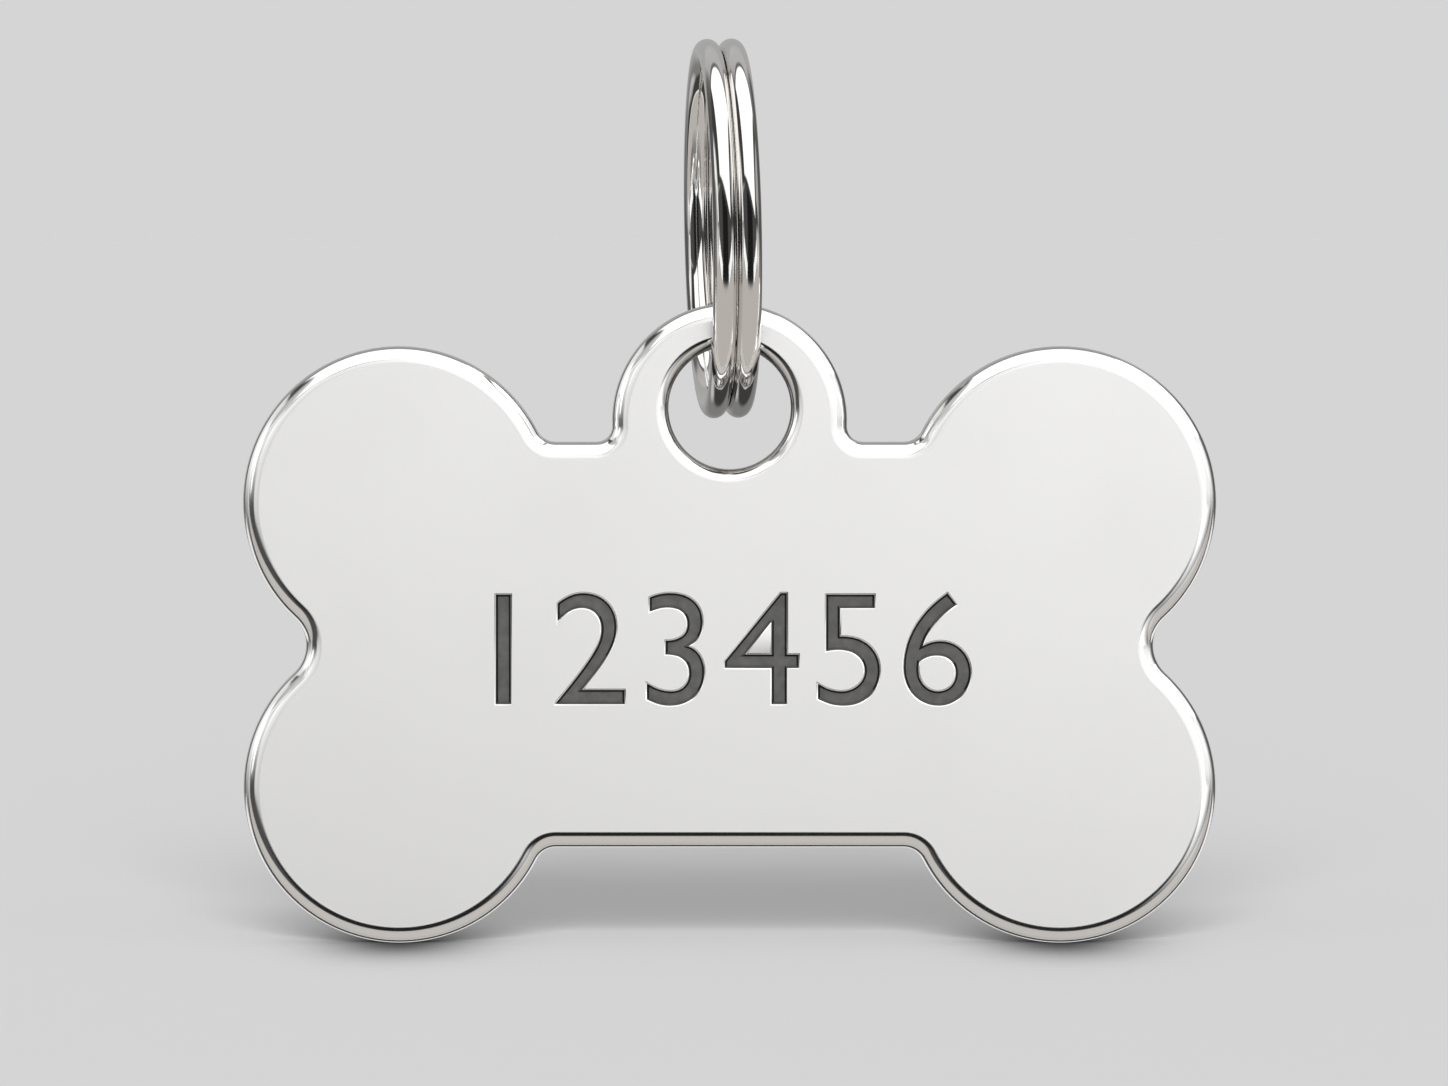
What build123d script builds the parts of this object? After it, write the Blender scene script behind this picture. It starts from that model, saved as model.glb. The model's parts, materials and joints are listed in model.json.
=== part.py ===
from build123d import *
import os
from math import cos, degrees, hypot, radians, sin, sqrt

# Pet identity tag: a bone-shaped metal plate with a hanging tab, and a split ring of two coils that
# runs loosely through the tab's hole. Millimetres, +Z up. The plate stands upright with its front
# towards -Y, and the ring leans back over the bar of metal above the hole. The origin lies under the
# middle of the plate's length and of the ring's depth, level with the feet of the lower lobes.

# Bone plate
lobe_radius = 6.1
lobe_overlap = 1.0  # how far the circle of an upper lobe reaches into the one below it
valley_depth = 3.75  # from the top of the lobes down to the straight edge between them
shoulder_flat = 1.6  # straight stretch between the tab's foot and a lobe's foot
lobe_notch_round = 1.5  # hollow between the two lobes at each end
lobe_foot_round = 0.8  # hollow where a lobe meets the straight edge
plate_thickness = 1.8
rim_land = 0.5  # straight wall that is left between the front and back edge rounds

# Hanging tab
hole_diameter = 4.8
hole_land = 0.8  # straight wall that is left inside the hole between its edge rounds
tab_side_wall = 2.2  # metal beside the hole
tab_top_wall = 1.72  # metal above the hole
tab_lift = 0.85  # height of the tab's centre above the straight edge
tab_foot_round = 0.63  # hollow where the tab meets the straight edge

# Split ring
ring_outer_diameter = 15.0
wire_diameter = 0.95
coil_gap = 0.06  # air between the two coils, which almost touch
step_angle = 18.0  # part of a turn in which the wire steps from one coil to the other
end_clearance = 0.12  # along the wire, from each cut end to the step beside it
end_round = 0.15  # broken edge of the cut ends
first_end_angle = -117.0  # place of the right coil's cut end, from the ring's top towards the front
ring_clearance = 0.4  # least air between the wire and the bar that it swings round
ring_lean = 1.1  # degrees by which the ring's top leans to the left in the loose hole
ring_yaw = 4.8  # degrees by which the ring's front is turned to the right in the loose hole

# Heights and half widths of the plate
edge_round = (plate_thickness - rim_land) / 2
hole_round = (plate_thickness - hole_land) / 2
hole_radius = hole_diameter / 2
tab_radius = hole_radius + tab_side_wall
lobe_rise = 2 * lobe_radius - lobe_overlap
bone_middle_z = lobe_radius + lobe_rise / 2
upper_lobe_z = lobe_radius + lobe_rise
straight_edge_z = upper_lobe_z + lobe_radius - valley_depth
tab_z = straight_edge_z + tab_lift
hole_z = tab_z + tab_radius - tab_top_wall - hole_radius

# The ring hugs the bar above the hole, and its lowest wire is level with the middle of the hole. That
# sets how far the ring's middle lies from the bar. The ring is turned about the middle of the bar.
wire_radius = wire_diameter / 2
coil_radius = ring_outer_diameter / 2 - wire_radius
ring_z = hole_z + coil_radius
bar_z = hole_z + hole_radius + tab_top_wall / 2
bar_reach = hypot(hole_land / 2, tab_top_wall / 2 - hole_round) + hole_round
bar_to_ring = coil_radius - wire_radius - bar_reach - ring_clearance
bar_to_middle = sqrt(bar_to_ring**2 - (ring_z - bar_z) ** 2)
ring_back = bar_to_middle * cos(radians(ring_yaw))
ring_left = bar_to_middle * sin(radians(ring_yaw))
plate_plane = Plane.XZ.offset(ring_back)

# The hollow at a foot is a circle that touches the straight edge and the round form beside it
tab_foot_x = sqrt((tab_radius + tab_foot_round) ** 2 - (tab_lift - tab_foot_round) ** 2)
lobe_foot_x = tab_foot_x + shoulder_flat
lobe_foot_rise = straight_edge_z + lobe_foot_round - upper_lobe_z
lobe_x = lobe_foot_x + sqrt((lobe_radius + lobe_foot_round) ** 2 - lobe_foot_rise**2)

# Tag plate: four lobes, a straight body and the tab in one outline, with every inner corner hollowed
with BuildPart() as tag_plate:
    with BuildSketch(plate_plane) as outline:
        with Locations((0, bone_middle_z)):
            Rectangle(2 * lobe_x, 2 * (straight_edge_z - bone_middle_z))
            with GridLocations(2 * lobe_x, lobe_rise, 2, 2):
                Circle(lobe_radius)
        with Locations((0, tab_z)):
            Circle(tab_radius)
        lower_feet, notches, upper_feet = outline.vertices().group_by(Axis.Y)
        left_foot, *tab_feet, right_foot = upper_feet.sort_by(Axis.X)
        fillet(notches, lobe_notch_round)
        fillet(lower_feet + [left_foot, right_foot], lobe_foot_round)
        fillet(tab_feet, tab_foot_round)
        with Locations((0, hole_z)):
            Circle(hole_radius, mode=Mode.SUBTRACT)
    extrude(amount=plate_thickness / 2, both=True)
    fillet(tag_plate.edges().filter_by(lambda edge: edge.is_closed), hole_round)
    broad_faces = tag_plate.faces().filter_by(Axis.Y)
    fillet([edge for face in broad_faces for edge in face.outer_wire().edges()], edge_round)

tag_plate.part.label = "tag_plate"

# Split ring: it is wound in a plane that stands square to the plate, and then turned. In that plane an
# angle starts at the ring's top and grows towards the front of the tag, and the third coordinate
# points to the right.
coil_offset = (wire_diameter + coil_gap) / 2
ring_up = Vector(-sin(radians(ring_lean)), 0, cos(radians(ring_lean)))
ring_right = Vector(cos(radians(ring_lean)), 0, sin(radians(ring_lean)))
ring_plane = Plane((0, 0, ring_z), x_dir=ring_up, z_dir=ring_right)

half_turn = (360 - step_angle - degrees(end_clearance / coil_radius)) / 2
right_middle_angle = first_end_angle + half_turn
step_first_angle = right_middle_angle + half_turn
left_first_angle = step_first_angle + step_angle
left_middle_angle = left_first_angle + half_turn


def ring_point(radius, angle, offset):
    """Give the place at this radius and angle in the ring's plane, moved sideways by the offset."""
    turned = radians(angle)
    return ring_plane.from_local_coords((radius * cos(turned), radius * sin(turned), offset))


# The step is two equal arcs that meet midway between the coils. Each runs on smoothly from its coil,
# and they share one tangent where they meet, which sets how far out their meeting point lies.
step_half = radians(step_angle / 2)
half_chord = coil_radius * sin(step_half)
chord_share = half_chord * cos(step_half)
step_bulge = sqrt(chord_share**2 + (half_chord**2 + coil_offset**2) * sin(step_half) ** 2) - chord_share
step_radius = coil_radius * cos(step_half) + step_bulge / sin(step_half)
step_middle = ring_point(step_radius, step_first_angle + step_angle / 2, 0)
step_end = ring_point(coil_radius, left_first_angle, -coil_offset)

with BuildPart() as split_ring:
    with BuildLine(ring_plane) as wire_line:
        right_start = CenterArc((0, 0, coil_offset), coil_radius, first_end_angle, half_turn)
        right_rest = CenterArc((0, 0, coil_offset), coil_radius, right_middle_angle, half_turn)
        step_out = TangentArc(right_rest @ 1, step_middle, tangent=right_rest % 1)
        step_back = TangentArc(step_middle, step_end, tangent=step_out % 1)
        left_start = CenterArc((0, 0, -coil_offset), coil_radius, left_first_angle, half_turn)
        left_rest = CenterArc((0, 0, -coil_offset), coil_radius, left_middle_angle, half_turn)
    with BuildSketch(Plane(right_start @ 0, z_dir=right_start % 0)):
        Circle(wire_radius)
    sweep()
    fillet(split_ring.faces().filter_by(GeomType.PLANE).edges(), end_round)

hung_ring = Pos(-ring_left, 0, 0) * Rot(0, 0, ring_yaw) * split_ring.part
hung_ring.label = "split_ring"

# The least air between the turns of the wire, from points spread evenly along its middle line
point_count = 600
near_count = point_count // 4  # points this close along the wire belong to the same stretch
wire_points = [wire_line.wire() @ (i / point_count) for i in range(point_count + 1)]
least_distance = min(
    (wire_points[i] - far_point).length
    for i in range(point_count - near_count)
    for far_point in wire_points[i + near_count :]
)
print(f"least gap between the turns of the wire: {least_distance - wire_diameter:.3f} mm")

os.makedirs("parts", exist_ok=True)
export_step(tag_plate.part, "parts/tag_plate.step")
export_step(hung_ring, "parts/split_ring.step")
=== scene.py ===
"""Finish of a bone-shaped pet tag: an engraved, polished plate and the split ring that it hangs on."""

import json
import logging
import math
from dataclasses import dataclass
from enum import Enum

import bmesh
import bpy
from bmesh.types import BMEdge, BMesh, BMFace, BMVert
from mathutils import Matrix, Vector

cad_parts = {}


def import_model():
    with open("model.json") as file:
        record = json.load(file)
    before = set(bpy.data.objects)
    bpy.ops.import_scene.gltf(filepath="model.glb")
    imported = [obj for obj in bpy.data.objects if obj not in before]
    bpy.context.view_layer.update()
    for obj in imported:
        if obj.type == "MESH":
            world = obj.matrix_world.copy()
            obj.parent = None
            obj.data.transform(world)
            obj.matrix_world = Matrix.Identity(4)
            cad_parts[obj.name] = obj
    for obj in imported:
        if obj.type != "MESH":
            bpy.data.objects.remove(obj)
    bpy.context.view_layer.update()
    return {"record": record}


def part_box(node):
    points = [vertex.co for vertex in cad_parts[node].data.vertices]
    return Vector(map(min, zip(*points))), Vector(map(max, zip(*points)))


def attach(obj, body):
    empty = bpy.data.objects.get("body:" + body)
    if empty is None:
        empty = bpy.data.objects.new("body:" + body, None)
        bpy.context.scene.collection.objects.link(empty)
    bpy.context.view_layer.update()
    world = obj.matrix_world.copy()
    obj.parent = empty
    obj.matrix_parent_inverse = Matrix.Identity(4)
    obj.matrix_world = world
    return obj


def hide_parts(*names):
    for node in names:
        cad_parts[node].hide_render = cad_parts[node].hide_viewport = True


LOG = logging.getLogger("pet_tag")
MM = 0.001
TOWARDS_FRONT = Vector((0.0, -1.0, 0.0))
TOWARDS_BACK = -TOWARDS_FRONT
UP = Vector((0.0, 0.0, 1.0))
SAME_POINT = 0.001 * MM
BROAD_FACE_WEIGHT = 60
LEAST_CHORDS = 3
Socket = bpy.types.NodeSocket
Term = float | tuple[float, ...] | Socket


class Body(Enum):
    """Bodies of the frame that the pieces ride on."""

    TAG = "tag"
    RING = "ring"


class Node(Enum):
    """Solids of the frame that the pieces stand for."""

    PLATE = "tag_plate"
    RING = "split_ring"


class Slot(Enum):
    """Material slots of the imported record."""

    PLATE = "polished_plate"
    WIRE = "bright_wire"


class Turn(Enum):
    """Way that an outline bends, seen from the front."""

    LEFT = 1
    RIGHT = -1


class PlateFinish(Enum):
    """Finishes of the plate, each with the place of its material on the piece."""

    POLISHED_EDGE = 0
    SATIN_FACE = 1
    THIN_FILM = 2
    # Darker copy of the film on cut walls that face away from the light: painted shade.
    THICK_FILM = 3


def add_object(name: str, data: bpy.types.ID | None) -> bpy.types.Object:
    """Put a new object with this data in the scene.

    Args:
        name: Name of the object.
        data: Mesh, light, camera or curve that it shows.

    Returns:
        The linked object, at the origin.
    """
    made = bpy.data.objects.new(name, data)
    bpy.context.scene.collection.objects.link(made)
    return made


def mesh_from(bm: BMesh, name: str) -> bpy.types.Mesh:
    """Write a bmesh to a new mesh and free it.

    Args:
        bm: Finished bmesh.
        name: Name of the mesh.

    Returns:
        The new mesh.
    """
    mesh = bpy.data.meshes.new(name)
    bm.to_mesh(mesh)
    bm.free()
    return mesh


def evaluated_mesh(made: bpy.types.Object) -> bpy.types.Mesh:
    """Give a new mesh of an object, as its text or its modifiers shape it.

    Args:
        made: Object that is read.

    Returns:
        The new mesh.
    """
    bpy.context.view_layer.update()
    graph = bpy.context.evaluated_depsgraph_get()
    return bpy.data.meshes.new_from_object(made.evaluated_get(graph))


def round_edges(bm: BMesh, edges: list[BMEdge], radius: float, rows: int, clamped: bool) -> None:
    """Round some edges.

    Args:
        bm: Bmesh that they belong to.
        edges: Edges that are rounded.
        radius: Radius of the round.
        rows: Rows of faces across it.
        clamped: Whether the round keeps clear of the edges beside it.
    """
    bmesh.ops.bevel(
        bm,
        geom=edges,
        offset=radius,
        offset_type="OFFSET",
        segments=rows,
        profile=0.5,
        affect="EDGES",
        clamp_overlap=clamped,
        material=-1,
    )


def arc_steps(radius: float, angle: float, chord_error: float) -> int:
    """Count the chords that follow an arc within an error.

    Args:
        radius: Radius of the arc.
        angle: Angle that it turns through, in radians.
        chord_error: Most that a chord may stray from the arc.

    Returns:
        The number of chords.
    """
    widest = 2 * math.acos(1 - min(chord_error / radius, 1.0))
    return max(LEAST_CHORDS, math.ceil(abs(angle) / widest))


class OutlinePen:
    """Draws a chain of edges in an upright plane, line by line and arc by arc."""

    def __init__(self, bm: BMesh, start: Vector, chord_error: float) -> None:
        """Set the pen down.

        Args:
            bm: Bmesh that it draws in.
            start: First point.
            chord_error: Most that a chord may stray from its arc.
        """
        self.bm = bm
        self.chord_error = chord_error
        self.tip = bmesh.ops.create_vert(bm, co=start)["vert"][0]

    def line(self, end: Vector) -> None:
        """Draw a straight edge to a point."""
        (self.tip,) = bmesh.ops.extrude_vert_indiv(self.bm, verts=[self.tip])["verts"]
        self.tip.co = end

    def arc(self, centre: Vector, end: Vector, turn: Turn) -> None:
        """Draw an arc to a point.

        Args:
            centre: Centre of the arc.
            end: Last point of the arc.
            turn: Way that the arc bends.
        """
        first = self.tip.co - centre
        last = end - centre
        between = math.atan2(last.z, last.x) - math.atan2(first.z, first.x)
        angle = turn.value * ((turn.value * between) % math.tau)
        spun = bmesh.ops.spin(
            self.bm,
            geom=[self.tip],
            cent=centre,
            axis=TOWARDS_FRONT,
            angle=angle,
            steps=arc_steps(first.length, angle, self.chord_error),
        )
        (self.tip,) = (item for item in spun["geom_last"] if isinstance(item, BMVert))


class NodeSums:
    """Writes nodes and sums into one node tree."""

    def __init__(self, tree: bpy.types.NodeTree) -> None:
        """Keep the tree that the nodes go into."""
        self.nodes = tree.nodes
        self.links = tree.links

    def feed(self, socket: Socket, term: Term) -> None:
        """Set a socket to a value, or link it.

        Args:
            socket: Socket that is set.
            term: Value, or socket that it is linked from.
        """
        if isinstance(term, Socket):
            self.links.new(term, socket)
        else:
            socket.default_value = term

    def add(self, kind: str, terms: dict[str | int, Term], **options: object) -> bpy.types.Node:
        """Add a node.

        Args:
            kind: Type of the node.
            terms: Value or socket of each input that is set, by the input's name or number.
            options: Properties of the node, which are set before its inputs.

        Returns:
            The new node.
        """
        node = self.nodes.new(kind)
        for name, option in options.items():
            setattr(node, name, option)
        for key, term in terms.items():
            self.feed(node.inputs[key], term)
        return node

    def place(self) -> Socket:
        """Give the place on the object."""
        return self.nodes.new("ShaderNodeTexCoord").outputs["Object"]

    def axes(self, vector: Socket) -> tuple[Socket, ...]:
        """Split a vector into its three parts."""
        return tuple(self.add("ShaderNodeSeparateXYZ", {"Vector": vector}).outputs)

    def math(self, operation: str, *terms: Term) -> Socket:
        """Add a math operation on numbers or sockets."""
        return self.add("ShaderNodeMath", dict(enumerate(terms)), operation=operation).outputs["Value"]

    def squares(self, one: Socket, other: Socket) -> Socket:
        """Add up the squares of two values."""
        return self.math("MULTIPLY_ADD", one, one, self.math("MULTIPLY", other, other))

    def scale(self, colour: Socket, share: Socket) -> Socket:
        """Leave a share of a colour."""
        terms = {"Vector": colour, "Scale": share}
        return self.add("ShaderNodeVectorMath", terms, operation="SCALE").outputs["Vector"]

    def ramp(
        self,
        value: Socket,
        start: float,
        end: float,
        first: float = 0.0,
        last: float = 1.0,
        smooth: bool = True,
    ) -> Socket:
        """Lead from one number to another while a value grows.

        Args:
            value: Socket of the value.
            start: Value where the ramp starts.
            end: Value where it ends.
            first: Number up to its start.
            last: Number from its end on.
            smooth: Whether it eases in and out.

        Returns:
            Socket of the number.
        """
        terms = {"Value": value, "From Min": start, "From Max": end, "To Min": first, "To Max": last}
        easing = "SMOOTHSTEP" if smooth else "LINEAR"
        return self.add("ShaderNodeMapRange", terms, interpolation_type=easing).outputs["Result"]

    def blend(self, share: Socket, under: Socket, over: tuple[float, float, float]) -> Socket:
        """Lay a share of a colour over another colour."""
        terms = {"Factor": share, "A": under, "B": (*over, 1.0)}
        return self.add("ShaderNodeMix", terms, data_type="RGBA").outputs["Result"]

    def choose(self, share: Socket, first: Socket, second: Socket) -> Socket:
        """Mix two shaders, the first where the share is 0 and the second where it is 1."""
        terms = {0: share, 1: first, 2: second}
        return self.add("ShaderNodeMixShader", terms).outputs["Shader"]


def new_material(name: str) -> tuple[bpy.types.Material, NodeSums, bpy.types.Node]:
    """Start a material.

    Args:
        name: Name of the material.

    Returns:
        The material, the writer of its nodes and its shader.
    """
    made = bpy.data.materials.new(name)
    made.use_nodes = True
    sums = NodeSums(made.node_tree)
    return made, sums, sums.nodes["Principled BSDF"]


@dataclass(frozen=True)
class MetalFinish:
    """A bright, handled metal.

    Attributes:
        name: Name of the material.
        tint: Colour that the metal reflects.
        roughness: Roughness of the untouched polish.
        metallic: Share of the surface that mirrors as bare metal does.
        smear: Roughness that finger marks add at most.
        scratch: Roughness that hairline scratches add at most.
        smear_size: Size of a finger mark.
        scratch_length: Length of a hairline scratch.
    """

    name: str
    tint: tuple[float, float, float]
    roughness: float
    metallic: float = 1.0
    smear: float = 0.03
    scratch: float = 0.03
    smear_size: float = 9 * MM
    scratch_length: float = 6 * MM

    def material(self, wear: bpy.types.ShaderNodeTree) -> bpy.types.Material:
        """Make the metal's material.

        Args:
            wear: Node group that gives the handled polish.

        Returns:
            The new material.
        """
        made, sums, shader = new_material(self.name)
        shader.inputs["Metallic"].default_value = self.metallic
        settings = {
            "Place": sums.place(),
            "Tint": (*self.tint, 1.0),
            "Roughness": self.roughness,
            "Smear": self.smear,
            "Scratch": self.scratch,
            "Smear Scale": 1 / self.smear_size,
            "Scratch Scale": 1 / self.scratch_length,
        }
        polish = sums.add("ShaderNodeGroup", settings, node_tree=wear)
        sums.links.new(polish.outputs["Color"], shader.inputs["Base Color"])
        sums.links.new(polish.outputs["Roughness"], shader.inputs["Roughness"])
        return made


class HandledPolish:
    """Node group of a polish that fingers have smeared and grit has scratched."""

    NAME = "handled polish"
    SMEAR_TONE = 0.015
    SMEAR_SPAN = (0.42, 0.72)
    SMEAR_NOISE = {"Detail": 4.0, "Roughness": 0.55}
    HAIR_NOISE = {"Detail": 2.0}
    HAIR_SLIMNESS = 1 / 120
    HAIR_SPAN = (0.62, 0.74)
    HAIR_TURNS = (24.0, -57.0)

    def build(self) -> bpy.types.ShaderNodeTree:
        """Make the group.

        Returns:
            The node group, with a colour and a roughness that change over the surface.
        """
        tree = bpy.data.node_groups.new(self.NAME, "ShaderNodeTree")
        sockets = {"Place": "NodeSocketVector", "Tint": "NodeSocketColor"}
        for name in ("Roughness", "Smear", "Scratch", "Smear Scale", "Scratch Scale"):
            sockets[name] = "NodeSocketFloat"
        for name, kind in sockets.items():
            tree.interface.new_socket(name, in_out="INPUT", socket_type=kind)
        tree.interface.new_socket("Color", in_out="OUTPUT", socket_type="NodeSocketColor")
        tree.interface.new_socket("Roughness", in_out="OUTPUT", socket_type="NodeSocketFloat")
        sums = NodeSums(tree)
        given = sums.nodes.new("NodeGroupInput")
        result = sums.nodes.new("NodeGroupOutput")
        place, tint, roughness, smear, scratch, smear_scale, scratch_scale = given.outputs[: len(sockets)]
        noise = {"Vector": place, "Scale": smear_scale, **self.SMEAR_NOISE}
        smears = sums.add("ShaderNodeTexNoise", noise)
        smeared = sums.ramp(smears.outputs["Fac"], *self.SMEAR_SPAN)
        scratched = self.scratches(sums, place, scratch_scale)
        touched = sums.math("MULTIPLY_ADD", smeared, smear, roughness)
        worn = sums.math("MULTIPLY_ADD", scratched, scratch, touched)
        sums.links.new(worn, result.inputs["Roughness"])
        tone = sums.math("MULTIPLY_ADD", smeared, -self.SMEAR_TONE, 1.0)
        sums.links.new(sums.scale(tint, tone), result.inputs["Color"])
        return tree

    def scratches(self, sums: NodeSums, place: Socket, scale: Socket) -> Socket:
        """Add hairline scratches that run two ways.

        Args:
            sums: Writer of the group's nodes.
            place: Socket of the place on the object.
            scale: Socket of the scratches' scale.

        Returns:
            Socket of a mask that is 1 on a scratch.
        """
        masks = []
        for degrees in self.HAIR_TURNS:
            turn = (0.0, math.radians(degrees), 0.0)
            terms = {"Vector": place, "Rotation": turn, "Scale": (1.0, 1.0, self.HAIR_SLIMNESS)}
            slim = sums.add("ShaderNodeMapping", terms, vector_type="TEXTURE")
            noise = {"Vector": slim.outputs["Vector"], "Scale": scale, **self.HAIR_NOISE}
            hairs = sums.add("ShaderNodeTexNoise", noise)
            masks.append(sums.ramp(hairs.outputs["Fac"], *self.HAIR_SPAN, smooth=False))
        return sums.math("MAXIMUM", *masks)


@dataclass(frozen=True)
class DarkFilm:
    """The dark oxide that fills the engraving, or a darker copy of it that stands for shade.

    Attributes:
        name: Name of the material.
        deep: Colour where the film is thick.
        worn: Colour where it is thin.
        grain: Size of its mottling.
        detail: How finely the mottling breaks up.
        spread: Shares of the mottling where it is thick and where it is thin.
        roughness: Roughness where it is thick and where it is thin.
        gloss: Level of its shine.
    """

    name: str
    deep: tuple[float, float, float]
    worn: tuple[float, float, float]
    grain: float = 0.35 * MM
    detail: float = 6.0
    spread: tuple[float, float] = (0.35, 0.7)
    roughness: tuple[float, float] = (0.55, 0.75)
    gloss: float = 0.2

    def material(self) -> bpy.types.Material:
        """Make the film's material.

        Returns:
            The new material.
        """
        made, sums, shader = new_material(self.name)
        shader.inputs["Specular IOR Level"].default_value = self.gloss
        noise = {"Vector": sums.place(), "Scale": 1 / self.grain, "Detail": self.detail}
        mottle = sums.add("ShaderNodeTexNoise", noise).outputs["Fac"]
        colours = sums.add("ShaderNodeValToRGB", {"Fac": mottle})
        for stop, share, colour in zip(colours.color_ramp.elements, self.spread, (self.deep, self.worn)):
            stop.position = share
            stop.color = (*colour, 1.0)
        sums.links.new(colours.outputs["Color"], shader.inputs["Base Color"])
        rough = sums.ramp(mottle, 0.0, 1.0, *self.roughness, smooth=False)
        sums.links.new(rough, shader.inputs["Roughness"])
        return made


@dataclass(frozen=True)
class PaintedHoleShade:
    """Painted shade on the hole's wall and rim: the metal's colour darkened round the hole, most just above
    its middle.

    Attributes:
        centre: Middle of the hole.
        wall_radius: Radius where the painted shade is darkest.
        lift: How far the painted shade's middle lies above that of the hole.
        reach: How far out of the wall the painted shade has faded away.
        kept: Share of the colour that the painted shade leaves.
    """

    centre: Vector
    wall_radius: float
    lift: float = 0.13 * MM
    reach: float = 0.21 * MM
    kept: float = 0.3

    def lay_on(self, metal: bpy.types.Material) -> None:
        """Paint shade into a metal's colour round the hole.

        Args:
            metal: Finish of the plate.
        """
        sums = NodeSums(metal.node_tree)
        colour = sums.nodes["Principled BSDF"].inputs["Base Color"]
        # Colour of the metal before the painted shade is laid on.
        clean = colour.links[0].from_socket
        x, _, z = sums.axes(sums.place())
        aside = sums.math("SUBTRACT", x, self.centre.x)
        above = sums.math("SUBTRACT", z, self.centre.z + self.lift)
        out = sums.math("SQRT", sums.squares(aside, above))
        share = sums.ramp(out, self.wall_radius, self.wall_radius + self.reach, first=self.kept)
        sums.links.new(sums.scale(clean, share), colour)


def finish_normals(piece: bpy.types.Object, sharp_angle: float) -> None:
    """Shade a piece smoothly, keep its sharp edges and let broad faces stay flat.

    Args:
        piece: Object with a mesh.
        sharp_angle: Angle between faces above which an edge is sharp.
    """
    bm = bmesh.new()
    bm.from_mesh(piece.data)
    for face in bm.faces:
        face.smooth = True
    for edge in bm.edges:
        edge.smooth = len(edge.link_faces) == 2 and edge.calc_face_angle() < sharp_angle
    bm.to_mesh(piece.data)
    bm.free()
    weighted = piece.modifiers.new("broad_faces_flat", "WEIGHTED_NORMAL")
    weighted.mode = "FACE_AREA"
    weighted.weight = BROAD_FACE_WEIGHT
    weighted.keep_sharp = True


@dataclass
class EngravedFigures:
    """Plain figures cut into the plate's front.

    Attributes:
        body: The figures.
        cap_height: Height of a figure.
        middle_x: Middle of the line, across the plate.
        middle_z: Middle of the line, up the plate.
        depth: Depth of the cut.
        lip: Width and depth of the rounded lip round the cut.
        slope: How far the walls lean in between the lip and the floor.
        lip_rows: Rows of faces across the lip.
        proud: How far the cutter's broadest part stands in front of the face, for a clean cut.
        same_point: Distance within which two points of the outline are one.
        draw_in: How far the floor's outline lies inside that of the type.
        spread: Share by which the figures stand apart.
        smoothness: Chords to a curve of the outline.
    """

    body: str = "123456"
    cap_height: float = 4.44 * MM
    middle_x: float = 0.15 * MM
    middle_z: float = 11.56 * MM
    depth: float = 0.25 * MM
    lip: float = 0.08 * MM
    slope: float = 0.07 * MM
    lip_rows: int = 4
    proud: float = 0.002 * MM
    same_point: float = 0.0005 * MM
    draw_in: float = 0.10 * MM
    spread: float = 1.07
    smoothness: int = 11

    def cutter(self, front_y: float) -> bpy.types.Object:
        """Make the solid figures that are cut from the plate.

        Args:
            front_y: Place of the plate's front face.

        Returns:
            An object with the figures standing through the face.
        """
        text = bpy.data.curves.new("figures", "FONT")
        text.body = self.body
        text.resolution_u = self.smoothness
        text.space_character = self.spread
        drawn = add_object("figures_drawn", text)
        bpy.context.view_layer.update()
        text.size = self.cap_height / (MM * drawn.dimensions.y)
        text.offset = -self.draw_in / MM
        text.bevel_depth = (self.lip + self.slope) / MM
        self.shape_wall(text)
        mesh = evaluated_mesh(drawn)
        bpy.data.objects.remove(drawn)
        corners = [vert.co for vert in mesh.vertices]
        low = Vector(tuple(min(c[i] for c in corners) for i in range(3)))
        high = Vector(tuple(max(c[i] for c in corners) for i in range(3)))
        mesh.transform(
            Matrix.Translation((self.middle_x, front_y - self.proud, self.middle_z))
            @ Matrix.Rotation(math.pi / 2, 4, "X")
            @ Matrix.Diagonal((MM, MM, 2 * self.depth / (high.z - low.z), 1.0))
            @ Matrix.Translation(-(low + high) / 2)
        )
        bm = bmesh.new()
        bm.from_mesh(mesh)
        bmesh.ops.remove_doubles(bm, verts=bm.verts, dist=self.same_point)
        bmesh.ops.recalc_face_normals(bm, faces=bm.faces)
        bpy.data.meshes.remove(mesh)
        return add_object("figures_cutter", mesh_from(bm, "figures_cutter"))

    def shape_wall(self, text: bpy.types.TextCurve) -> None:
        """Give the figures a wall that leans in and rounds over at the plate's front.

        Args:
            text: Figures whose edge is shaped, with the front face at the middle of their thickness.
        """
        text.bevel_mode = "PROFILE"
        text.bevel_resolution = self.lip_rows
        wall_top = Vector((self.slope / (self.lip + self.slope), self.lip / self.depth))
        for row in range(1, self.lip_rows + 1):
            turned = math.pi / 2 * row / self.lip_rows
            spot = text.bevel_profile.points.add(
                1 - (1 - wall_top.x) * math.sin(turned), wall_top.y * (1 - math.cos(turned))
            )
            spot.handle_type_1 = "VECTOR"
            spot.handle_type_2 = "VECTOR"
        text.bevel_profile.update()


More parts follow.
